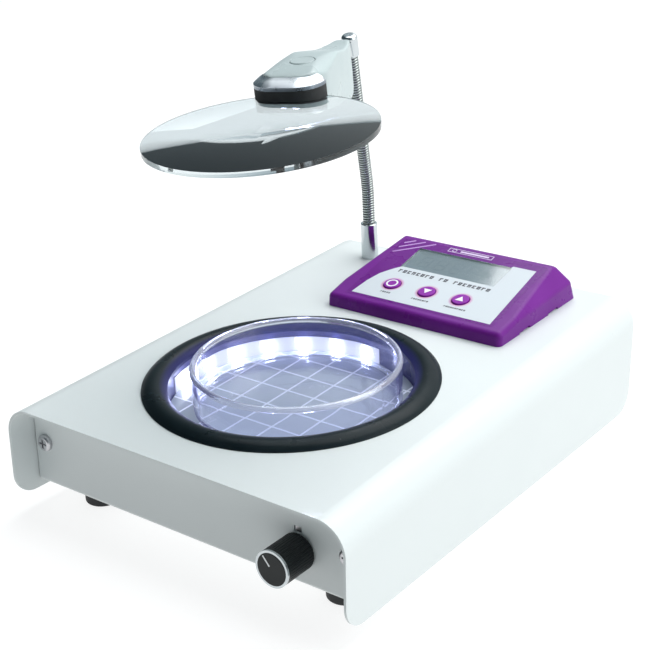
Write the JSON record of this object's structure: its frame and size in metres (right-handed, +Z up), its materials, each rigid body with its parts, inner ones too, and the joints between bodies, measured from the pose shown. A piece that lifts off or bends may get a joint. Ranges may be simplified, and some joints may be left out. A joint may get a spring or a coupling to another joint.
{
  "type": "laboratory colony counter",
  "caption": "Tabletop colony counter: sloping sheet-metal case with a lit well for a glass dish, key-and-display console, dimmer knob and round magnifier on a gooseneck.",
  "frame": {"origin": "on the floor plane, under the middle of the whole object's bounding box", "axes": "+Z up, +Y towards the back of the case where the gooseneck stands, +X to the right as the user sees it from the front"},
  "size_m": [0.195, 0.2624, 0.2013],
  "materials": {
    "case_white": "satin powder coat",
    "steel": "zinc plated",
    "black_rubber": "matte",
    "well_black": "matte",
    "background_dark": "gloss",
    "grid_dark": "gloss, with a printed counting grid",
    "bezel_black": "satin",
    "led_tape": "matte",
    "led_white": "gloss",
    "console_purple": "gloss",
    "key_purple": "satin",
    "panel_print": "matte printed film",
    "window_clear": "clear",
    "lcd_grey": "semi-gloss",
    "part_black": "matte",
    "board_green": "semi-gloss",
    "shaft_aluminium": "satin",
    "knob_black": "satin",
    "chrome": "polished",
    "print_white": "matte",
    "brass": "satin",
    "lead_insulation": "matte",
    "head_silver": "satin painted plastic",
    "lens_glass": "clear polished",
    "dish_glass": "clear"
  },
  "bodies": {
    "base": {"top_cover": "case_white", "chassis_tray": "case_white", "cover_brackets": "steel", "cover_screws": "steel", "rubber_feet": "black_rubber", "foot_screws": "steel", "foot_nuts": "steel", "light_well": "well_black", "well_nuts": "steel", "background_disc": "background_dark", "grid_plate": "grid_dark", "bezel_ring": "bezel_black", "led_strip": "led_tape", "led_chips": "led_white", "console_cover": "console_purple", "console_base": "console_purple", "console_screws": "steel", "console_overlay": "panel_print", "lcd_window": "window_clear", "lcd_module": "lcd_grey", "tact_switches": "part_black", "keypad_board": "board_green", "potentiometer": "steel", "dimmer_washer": "steel", "dimmer_nut": "steel", "control_board": "board_green", "board_standoffs": "brass", "board_screws": "steel", "board_components": "part_black", "power_inlet": "part_black", "inlet_nut": "steel", "leads": "lead_insulation", "neck_ferrule": "chrome", "neck_washer": "steel", "neck_nut": "steel", "neck_root": "chrome"},
    "knob": {"dimmer_shaft": "shaft_aluminium", "dimmer_knob": "knob_black", "knob_ring": "chrome", "knob_pointer": "print_white"},
    "reset_button": {"reset_key": "key_purple"},
    "down_button": {"down_key": "key_purple"},
    "up_button": {"up_key": "key_purple"},
    "dish": {"petri_dish": "dish_glass"},
    "neck_lower_part": {"neck_lower": "chrome"},
    "neck_middle_part": {"neck_middle": "chrome"},
    "neck_upper_part": {"neck_upper": "chrome"},
    "magnifier": {"neck_tip": "chrome", "neck_cap": "chrome", "head_shell": "head_silver", "head_pin": "steel", "magnifier_lens": "lens_glass", "lens_gaskets": "black_rubber", "lower_clamp": "head_silver", "chrome_trim": "chrome", "head_leds": "led_white", "lens_screws": "steel", "lamp_switch_board": "board_green"},
    "lamp_push": {"lamp_button": "head_silver"}
  },
  "joints": [
    {"name": "dimmer_turn", "type": "hinge", "parent": "base", "child": "knob", "pos_m": [0.0635, -0.1133, 0.0285], "axis": [0, 1, 0], "range_deg": [-110, 190]},
    {"name": "reset_press", "type": "slide", "parent": "base", "child": "reset_button", "axis": [0, 0.2342, -0.9722], "range_m": [0, 0.0005], "stiffness_N_per_m": 500, "springref_m": -0.0006},
    {"name": "down_press", "type": "slide", "parent": "base", "child": "down_button", "axis": [0, 0.2342, -0.9722], "range_m": [0, 0.0005], "stiffness_N_per_m": 500, "springref_m": -0.0006},
    {"name": "up_press", "type": "slide", "parent": "base", "child": "up_button", "axis": [0, 0.2342, -0.9722], "range_m": [0, 0.0005], "stiffness_N_per_m": 500, "springref_m": -0.0006},
    {"name": "dish_lift", "type": "slide", "parent": "base", "child": "dish", "axis": [0, -0.0496, 0.9988], "range_m": [0, 0.025]},
    {"name": "neck_side_bend", "type": "hinge", "parent": "base", "child": "neck_lower_part", "pos_m": [-0.0595, 0.11274, 0.09902], "axis": [0.2956, -0.9553, 0], "range_deg": [-15, 15]},
    {"name": "neck_lower_bend", "type": "hinge", "parent": "neck_lower_part", "child": "neck_middle_part", "pos_m": [-0.05888, 0.10978, 0.11821], "axis": [0.9552, 0.2956, 0.0147], "range_deg": [-15, 15]},
    {"name": "neck_upper_bend", "type": "hinge", "parent": "neck_middle_part", "child": "neck_upper_part", "pos_m": [-0.05737, 0.10392, 0.13832], "axis": [-0.9552, -0.2956, -0.0147], "range_deg": [-15, 15]},
    {"name": "head_tilt", "type": "hinge", "parent": "neck_upper_part", "child": "magnifier", "pos_m": [-0.05573, 0.0975, 0.16035], "axis": [0.9552, 0.2956, 0.0147], "range_deg": [-15, 15]},
    {"name": "lamp_press", "type": "slide", "parent": "magnifier", "child": "lamp_push", "axis": [0.0331, 0.1104, -0.9933], "range_m": [0, 0.0008], "stiffness_N_per_m": 500, "springref_m": -0.0008}
  ]
}
